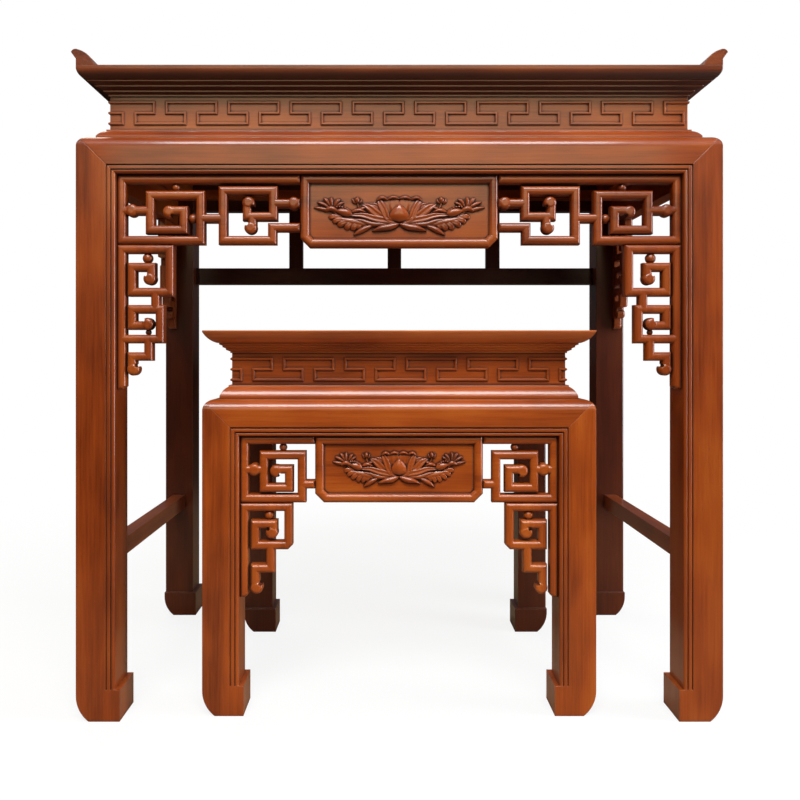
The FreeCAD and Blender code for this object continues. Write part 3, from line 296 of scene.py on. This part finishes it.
# parts that take near-black tones as painted shade
PAINTED_SHADE_PARTS = ("battens", "waist_back", "apron_back", "upper_back_rail", "struts")
SPECIAL_FINISH_AND_SHADE = {"waist": "fine", "carved_panel": "fine", "leg": "leg", "upper_top": "moulding"}
FIRST_SEED = 1.0

woods = {}


def wood_for(node):
    """The wood of a node: bare for pegs and dowels, otherwise stained, by table, grain and place."""
    if node.endswith(("pegs", "dowels")):
        if "peg_wood" not in woods:
            woods["peg_wood"] = bare_wood("peg_wood")
        return woods["peg_wood"]
    grain = next(axis for words, axis in GRAIN.items() if words in node)
    table = node.split("_")[0]
    tone = table
    top_tones = None
    # painted shade: the back and hidden parts take near-black tones
    if any(words in node for words in PAINTED_SHADE_PARTS):
        tone = "dark"
    # painted shade: the back legs take darker tones
    elif "leg_back" in node:
        tone = "rear"
    # the tops' rails and wings take painted tones (painted shade on the tall table, painted light on the
    # small one); their upward faces take the table's stain
    elif "_top_" in node or "wing" in node:
        tone = f"{table}_edge"
        top_tones = STAINS[table]
    finish_and_shade = next((finish_and_shade for words, finish_and_shade in SPECIAL_FINISH_AND_SHADE.items() if words in node), "plain")
    key = f"{tone}_{finish_and_shade}_wood_{grain}"
    if key not in woods:
        seed = FIRST_SEED + len(woods)
        woods[key] = stained_wood(key, grain, STAINS[tone], FINISHES_AND_SHADE[finish_and_shade], seed, top_tones)
    return woods[key]


for node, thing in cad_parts.items():
    thing.data.materials.clear()
    thing.data.materials.append(wood_for(node))


# Lotus carving on the two panels, in millimetres

FIELD_DEPTH = 7.0  # from the front of a panel's rim back to its sunk field
RELIEF = 1.25  # how many times higher the carving stands than its heights say
SUNK = 0.4  # how deep a shape is set into the field
ROWS = 18  # sections along a shape or a stem
COLUMNS = 12  # steps across a shape
TIP = 0.004  # share of a path left off at its ends where widths are worked out, so that none is zero
TIP_HEIGHT = 0.35  # height at the ends of a shape, as a share of that at its middle
HOLLOWING = 1.35  # how much of the swelling a full hollow takes away along the middle
CREASE = math.radians(50)
CARVING_SEED = 20.0

# How fast a shape widens from its start and narrows to its end, and how hollow it is along its middle.
LEAF = {"start": 0.55, "end": 0.80, "hollow": 0.0}
TROUGH = {"start": 0.50, "end": 0.75, "hollow": 0.60}
TEARDROP = {"start": 0.48, "end": 0.85, "hollow": 0.0}
LOBE = {"start": 0.50, "end": 0.35, "hollow": 0.35}
BANK = {"start": 0.40, "end": 0.40, "hollow": 0.0}
CUP = {"start": 0.45, "end": 0.12, "hollow": 0.0}
PETAL = {"start": 0.55, "end": 0.28, "hollow": 0.70}

# Each shape has a path, half a width, the heights of its edge and crown above the field, and its style.
# A path runs out from the middle and up from the root of the flower.
MIDDLE_SHAPES = [
    ([(0, 2), (0, 18), (0, 36)], 27.5, 0.6, 1.0, CUP),
    ([(0, 1), (0, 15), (0, 31)], 15.8, 3.6, 6.6, TEARDROP),
]
FLOWER = [
    ([(28, 18), (38, 28), (51, 32)], 4.6, 1.4, 3.0, TROUGH),
    ([(10, 8), (17, 24), (22, 40)], 8.0, 1.4, 2.8, PETAL),
    ([(1, 8), (6, 24), (9.5, 41)], 8.5, 1.8, 3.2, PETAL),
    ([(8, 0), (20, 7.5), (25.5, 21), (34.5, 38)], 6.4, 3.2, 5.4, PETAL),
    ([(20.5, 38.5), (10, 42.4), (-0.5, 39.6)], 2.2, 3.0, 4.6, BANK),
    ([(37.5, 36.5), (29, 41.6), (18.5, 38)], 2.4, 3.2, 4.8, BANK),
    ([(19, 4.5), (36, 14), (49.5, 25), (62, 31)], 7.0, 2.8, 5.2, TROUGH),
]
LONG_LEAVES = [
    ([(8, -0.5), (28, -2.5), (46, -1.5), (63, 4), (82, 6)], 4.6, 1.8, 3.8, LEAF),
    ([(4, 1.5), (22, 4), (41, 7), (62, 12.5), (87, 12.8)], 6.0, 3.0, 5.4, TROUGH),
    ([(0, -1.5), (15.5, -6.5), (30, -8.8), (45.5, -13.6)], 5.2, 3.6, 6.2, LEAF),
    ([(44, -4.5), (57, -9.3), (67, -14.6), (76, -20.5)], 4.4, 2.0, 4.4, LEAF),
]
SCALLOPED_LEAF = [
    ([(50, -4), (70, 0.5), (90, 4.5), (107, 10.5)], 5.8, 1.4, 3.2, LEAF),
    ([(60, 1), (67, -5), (69, -11)], 5.0, 1.6, 3.4, LOBE),
    ([(68, 1), (75, -6), (78, -12.5)], 5.2, 2.0, 4.0, LOBE),
    ([(76.5, 2), (85, -4.5), (89, -11)], 5.2, 2.0, 4.2, LOBE),
    ([(82.5, 4), (95, -0.5), (101.5, -6)], 5.0, 2.0, 4.2, LOBE),
    ([(89, 6.5), (103.5, 4.5), (110, 0)], 4.6, 1.8, 4.0, LOBE),
    ([(97, 9.5), (109.5, 10.5), (117, 8.5)], 4.2, 1.8, 3.8, LOBE),
]
SEED_POD = [
    ([(78, 14), (92, 18), (107, 20.5)], 7.0, 2.4, 5.6, LEAF),
]
BUD = [
    ([(71.5, 33), (69.8, 38), (68.5, 43)], 4.6, 2.2, 5.0, TEARDROP),
    ([(71.5, 32), (76, 35.5), (77.5, 41)], 2.3, 1.8, 3.6, LEAF),
    ([(68.5, 33), (64, 35), (62.5, 40)], 2.2, 1.8, 3.6, LEAF),
]
SMALL_LEAVES = [
    ([(80, 17), (67, 21), (54, 17)], 3.4, 1.8, 3.8, LEAF),
    ([(68.5, 18.5), (61.5, 23.5), (55, 26)], 2.9, 1.8, 3.6, LEAF),
]
OUTER_FLOWER = [
    ([(116, 21), (128, 23.5), (142, 25.5)], 3.4, 1.6, 3.8, LEAF),
    ([(114, 24), (125, 30.5), (137, 34.5)], 3.6, 2.0, 4.4, LEAF),
    ([(112.5, 25), (120, 35.5), (126, 41)], 3.8, 2.2, 4.8, LEAF),
    ([(111.5, 25), (113, 36), (112, 43)], 3.8, 2.4, 5.2, LEAF),
    ([(109.5, 25), (103.5, 34.5), (97, 39.5)], 3.7, 2.2, 4.8, LEAF),
    ([(107.5, 24), (99, 31), (91.5, 34)], 3.2, 2.0, 4.2, LEAF),
    ([(101, 18), (112.5, 24), (125, 20)], 4.4, 2.4, 5.2, BANK),
]
HALF_SHAPES = [*FLOWER, *LONG_LEAVES, *SCALLOPED_LEAF, *SEED_POD, *BUD, *SMALL_LEAVES, *OUTER_FLOWER]
HALF_STEMS = [
    [(70, 34.5), (67, 25), (58, 15)],
    [(110, 20), (104, 14), (96, 10)],
]
STEM_RADIUS = 1.2
STEM_SIDES = 10
HALF_SEEDS = [(86, 22), (90, 24.5), (94.5, 26), (99, 26.5), (103.5, 26)]
SEED_RADIUS = 1.7
SEED_HEIGHT = 3.4
SEED_ROUNDNESS = 3

# Where the flower's root stands, as a share of the panel's height, and how far the design is drawn in.
LOTUS_FIT = {
    "upper": {"root": 0.34, "across": 1.0, "up": 1.0},
    "lower": {"root": 0.40, "across": 0.79, "up": 0.93},
}


def smooth_path(points, count):
    """Points along the curve that runs smoothly through the given ones."""
    knots = [Vector(point) for point in points]
    knots = [knots[0] * 2 - knots[1], *knots, knots[-1] * 2 - knots[-2]]
    spans = len(knots) - 3
    path = []
    for index in range(count):
        at = index / (count - 1) * spans
        span = min(int(at), spans - 1)
        t = at - span
        before, first, second, after = knots[span:span + 4]
        path.append(0.5 * (2 * first + (second - before) * t
                           + (2 * before - 5 * first + 4 * second - after) * t ** 2
                           + (3 * first - before - 3 * second + after) * t ** 3))
    return path


class LotusGround:
    """One panel's field: turns design millimetres into places on it."""

    def __init__(self, table):
        low, high = (Vector(corner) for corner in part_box(f"{table}_carved_panel"))
        fit = LOTUS_FIT[table]
        self.across = fit["across"] * MM
        self.up = fit["up"] * MM
        self.root = low.z + (high.z - low.z) * fit["root"]
        self.field = low.y + FIELD_DEPTH * MM

    def point(self, out, up, height):
        return Vector((-out * self.across, self.field - height * RELIEF * MM, self.root + up * self.up))


def carve_shape(model, ground, side, path, half, edge, crown, style):
    """A closed pillow of wood along the path, with a swelling or a hollow along its middle."""
    centre = smooth_path(path, ROWS)
    peak = style["start"] / (style["start"] + style["end"])
    widest = peak ** style["start"] * (1 - peak) ** style["end"]
    loops = []
    for index, spot in enumerate(centre):
        t = min(max(index / (ROWS - 1), TIP), 1 - TIP)
        ahead = (centre[min(index + 1, ROWS - 1)] - centre[max(index - 1, 0)]).normalized()
        sideways = Vector((-ahead.y, ahead.x))
        reach = half * t ** style["start"] * (1 - t) ** style["end"] / widest
        fullness = TIP_HEIGHT + (1 - TIP_HEIGHT) * math.sin(math.pi * t) ** 0.5
        loop = []
        for step in range(COLUMNS + 1):
            s = step / COLUMNS * 2 - 1
            swell = (1 - s ** 2) * (1 - style["hollow"] * math.cos(s * math.pi / 2) ** 2 * HOLLOWING)
            loop.append((spot + sideways * reach * s, (edge + (crown - edge) * swell) * fullness))
        loop += [(spot + sideways * reach, -SUNK), (spot - sideways * reach, -SUNK)]
        loops.append([model.verts.new(ground.point(place.x * side, place.y, height))
                      for place, height in loop])
    around = len(loops[0])
    for first, second in zip(loops, loops[1:]):
        for step in range(around):
            after = (step + 1) % around
            model.faces.new((first[step], first[after], second[after], second[step]))
    model.faces.new(loops[0])
    model.faces.new(list(reversed(loops[-1])))


def carved_piece(mesh, name, table, wood):
    """A finished piece of carving that moves with its table."""
    piece = bpy.data.objects.new(name, mesh)
    bpy.context.scene.collection.objects.link(piece)
    mesh.materials.clear()
    mesh.materials.append(wood)
    mesh.shade_smooth()
    mesh.set_sharp_from_angle(angle=CREASE)
    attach(piece, f"{table}_table")


def lotus_petals(table, wood):
    """The flowers, leaves, bud and pod of one panel, the two halves mirrored."""
    ground = LotusGround(table)
    model = bmesh.new()
    for shape in MIDDLE_SHAPES:
        carve_shape(model, ground, 1, *shape)
    for side in (1, -1):
        for shape in HALF_SHAPES:
            carve_shape(model, ground, side, *shape)
    bmesh.ops.recalc_face_normals(model, faces=model.faces)
    mesh = bpy.data.meshes.new(f"{table}_lotus_petals")
    model.to_mesh(mesh)
    model.free()
    carved_piece(mesh, f"{table}_lotus_petals", table, wood)


class CarvingNodes:
    """A Geometry Nodes group that works on a guide mesh, with inputs for a radius and a wood."""

    INPUTS = {"Geometry": "NodeSocketGeometry", "Radius": "NodeSocketFloat", "Wood": "NodeSocketMaterial"}

    def __init__(self, name):
        self.group = bpy.data.node_groups.new(name, "GeometryNodeTree")
        self.sockets = {
            key: self.group.interface.new_socket(key, in_out="INPUT", socket_type=kind).identifier
            for key, kind in self.INPUTS.items()}
        self.group.interface.new_socket("Geometry", in_out="OUTPUT", socket_type="NodeSocketGeometry")
        self.given = self.group.nodes.new("NodeGroupInput").outputs

    def node(self, kind, inputs):
        """Adds a node with its inputs as values or links, and gives its first output."""
        made = self.group.nodes.new(kind)
        for key, value in inputs.items():
            if isinstance(value, bpy.types.NodeSocket):
                self.group.links.new(value, made.inputs[key])
            else:
                made.inputs[key].default_value = value
        return made.outputs[0]

    def result(self, shape):
        """Ends the group with the shape in its wood."""
        wooden = self.node("GeometryNodeSetMaterial", {"Geometry": shape, "Material": self.given["Wood"]})
        self.group.links.new(wooden, self.group.nodes.new("NodeGroupOutput").inputs[0])


def stem_nodes():
    """Round stems along every edge of the guide."""
    nodes = CarvingNodes("carved_stems")
    section = nodes.node("GeometryNodeCurvePrimitiveCircle", {
        "Radius": nodes.given["Radius"], "Resolution": STEM_SIDES})
    path = nodes.node("GeometryNodeMeshToCurve", {"Mesh": nodes.given["Geometry"]})
    nodes.result(nodes.node("GeometryNodeCurveToMesh", {
        "Curve": path, "Profile Curve": section, "Fill Caps": True}))
    return nodes


def seed_nodes():
    """A round seed on every point of the guide."""
    nodes = CarvingNodes("lotus_seeds")
    seed = nodes.node("GeometryNodeMeshIcoSphere", {
        "Radius": nodes.given["Radius"], "Subdivisions": SEED_ROUNDNESS})
    copies = nodes.node("GeometryNodeInstanceOnPoints", {"Points": nodes.given["Geometry"], "Instance": seed})
    nodes.result(nodes.node("GeometryNodeRealizeInstances", {"Geometry": copies}))
    return nodes


def grown_piece(name, table, wood, nodes, radius, points, edges):
    """Runs a node group on a guide of points and edges, and keeps the plain mesh that it makes."""
    guide = bpy.data.meshes.new(f"{name}_guide")
    guide.from_pydata(points, edges, [])
    holder = bpy.data.objects.new(f"{name}_guide", guide)
    bpy.context.scene.collection.objects.link(holder)
    modifier = holder.modifiers.new(name, "NODES")
    modifier.node_group = nodes.group
    modifier[nodes.sockets["Radius"]] = radius * MM
    modifier[nodes.sockets["Wood"]] = wood
    ready = holder.evaluated_get(bpy.context.evaluated_depsgraph_get())
    mesh = bpy.data.meshes.new_from_object(ready)
    mesh.name = name
    bpy.data.objects.remove(holder)
    carved_piece(mesh, name, table, wood)


def lotus_stems_and_seeds(table, wood, stems, seeds):
    """The stems of one panel's bud and outer flower, and the seeds along its pods."""
    ground = LotusGround(table)
    points = []
    edges = []
    dots = []
    for side in (1, -1):
        for stem in HALF_STEMS:
            path = smooth_path(stem, ROWS)
            first = len(points)
            points += [ground.point(spot.x * side, spot.y, STEM_RADIUS) for spot in path]
            edges += [(first + index, first + index + 1) for index in range(ROWS - 1)]
        dots += [ground.point(out * side, up, SEED_HEIGHT) for out, up in HALF_SEEDS]
    grown_piece(f"{table}_lotus_stems", table, wood, stems, STEM_RADIUS, points, edges)
    grown_piece(f"{table}_lotus_seeds", table, wood, seeds, SEED_RADIUS, dots, [])


stems = stem_nodes()
seeds = seed_nodes()
for table in ("upper", "lower"):
    carving_wood = stained_wood(f"{table}_lotus_wood", "x", STAINS[table], FINISHES_AND_SHADE["fine"], CARVING_SEED)
    lotus_petals(table, carving_wood)
    lotus_stems_and_seeds(table, carving_wood, stems, seeds)


# Stage, light and camera, in metres

FLOOR_HALF = 40.0
FLOOR_FADE = (0.5, 2.2)  # how far from the middle the floor starts to fade and is white
FLOOR_WHITE = 0.84  # share of plain white near the tables, which leaves the rest for shadow
FLOOR_TINTS = ((0.86, 0.86, 0.86, 1), (0.82, 0.82, 0.82, 1))
FLOOR_SPECKLE = {"scale": (3.0, 3.0, 3.0)}
SPECKLE_SHARE = 0.3
FLOOR_BOUNCE = ((0.29, 0.21, 0.14, 1), (0.03, 0.024, 0.018, 1))  # what lights the wood, near and far
ROOM_TONES = [(0.0, (0.025, 0.022, 0.02)), (0.75, (0.19, 0.19, 0.20))]  # from the horizon up

LAMPS = {
    "high_softbox": {
        "place": (0, -3.2, 4.6), "target": (0, -0.3, 0.6), "size": (3.4, 1.8), "power": 290,
        "colour": (1.0, 1.0, 1.0)},
    "front_card": {
        "place": (0, -3.6, 1.85), "target": (0, 0, 1.0), "size": (3.3, 0.9), "power": 26,
        "colour": (1.0, 0.80, 0.46)},
    "window": {
        "place": (2.6, -0.62, 1.1), "target": (0, -0.28, 0.75), "size": (1.0, 2.2), "power": 78,
        "colour": (0.90, 0.96, 1.0)},
    "back_softbox": {
        "place": (-1.2, 2.6, 4.4), "target": (0, 0.2, 0.5), "size": (3.0, 2.0), "power": 75,
        "colour": (1.0, 0.90, 0.75)},
}

EYE = (-0.027, -1.5785, 0.607)
LEVEL = (math.radians(90), 0, 0)
SENSOR_WIDTH = 36.0
LENS = 35.1
SHIFT = (0.02125, -0.0594)


def area_light(name, place, target, size, power, colour):
    data = bpy.data.lights.new(name, "AREA")
    data.shape = "RECTANGLE"
    data.size, data.size_y = size
    data.energy = power
    data.color = colour
    lamp = bpy.data.objects.new(name, data)
    lamp.location = place
    lamp.rotation_euler = (Vector(target) - Vector(place)).to_track_quat("-Z", "Y").to_euler()
    bpy.context.scene.collection.objects.link(lamp)


def floor_paint():
    """Pale and speckled to the camera, white farther off; a warm bounce of light to everything else."""
    shader = Shader(bpy.data.materials.new("pale_floor"))
    place = shader.node("ShaderNodeTexCoord", output="Object")
    away = shader.node("ShaderNodeVectorMath", {"operation": "LENGTH"}, {0: place}, output="Value")
    far = away.between(*FLOOR_FADE)
    seen = shader.node("ShaderNodeLightPath", output="Is Camera Ray")
    speckle = shader.noise(place, **FLOOR_SPECKLE)
    tint = shader.mix(speckle * SPECKLE_SHARE, *FLOOR_TINTS)
    tint = shader.mix(seen, shader.mix(far, *FLOOR_BOUNCE), tint)
    matt = shader.node("ShaderNodeBsdfDiffuse", {}, {"Color": tint})
    white = shader.node("ShaderNodeEmission", {}, {"Color": WHITE, "Strength": 1.0})
    share = seen * (FLOOR_WHITE + far * (1 - FLOOR_WHITE))
    return shader.surface(shader.node("ShaderNodeMixShader", {}, {0: share, 1: matt, 2: white}))


def pale_floor():
    """A wide floor that holds the shadows."""
    mesh = bpy.data.meshes.new("pale_floor")
    corners = [(-1, -1), (1, -1), (1, 1), (-1, 1)]
    mesh.from_pydata([(x * FLOOR_HALF, y * FLOOR_HALF, 0) for x, y in corners], [], [(0, 1, 2, 3)])
    mesh.materials.append(floor_paint())
    floor = bpy.data.objects.new("pale_floor", mesh)
    bpy.context.scene.collection.objects.link(floor)


def studio_world():
    """White to the camera; a soft grey room, brighter above, to everything else."""
    shader = Shader(bpy.data.worlds.new("studio"))
    way = shader.node("ShaderNodeTexCoord", output="Generated")
    height = shader.node("ShaderNodeSeparateXYZ", {}, {0: way}, output="Z")
    seen = shader.node("ShaderNodeLightPath", output="Is Camera Ray")
    tint = shader.mix(seen, shader.ramp(height, ROOM_TONES), WHITE)
    room = shader.node("ShaderNodeBackground", {}, {"Color": tint})
    bpy.context.scene.world = shader.surface(room, "ShaderNodeOutputWorld")


def camera():
    """Level, looking straight back from a little left of the middle, just below the small table's top."""
    data = bpy.data.cameras.new("camera")
    data.sensor_width = SENSOR_WIDTH
    data.lens = LENS
    data.shift_x, data.shift_y = SHIFT
    eye = bpy.data.objects.new("camera", data)
    eye.location = EYE
    eye.rotation_euler = LEVEL
    bpy.context.scene.collection.objects.link(eye)
    bpy.context.scene.camera = eye


pale_floor()
studio_world()
for name, lamp in LAMPS.items():
    area_light(name, **lamp)
camera()
bpy.context.scene.view_settings.view_transform = "Standard"
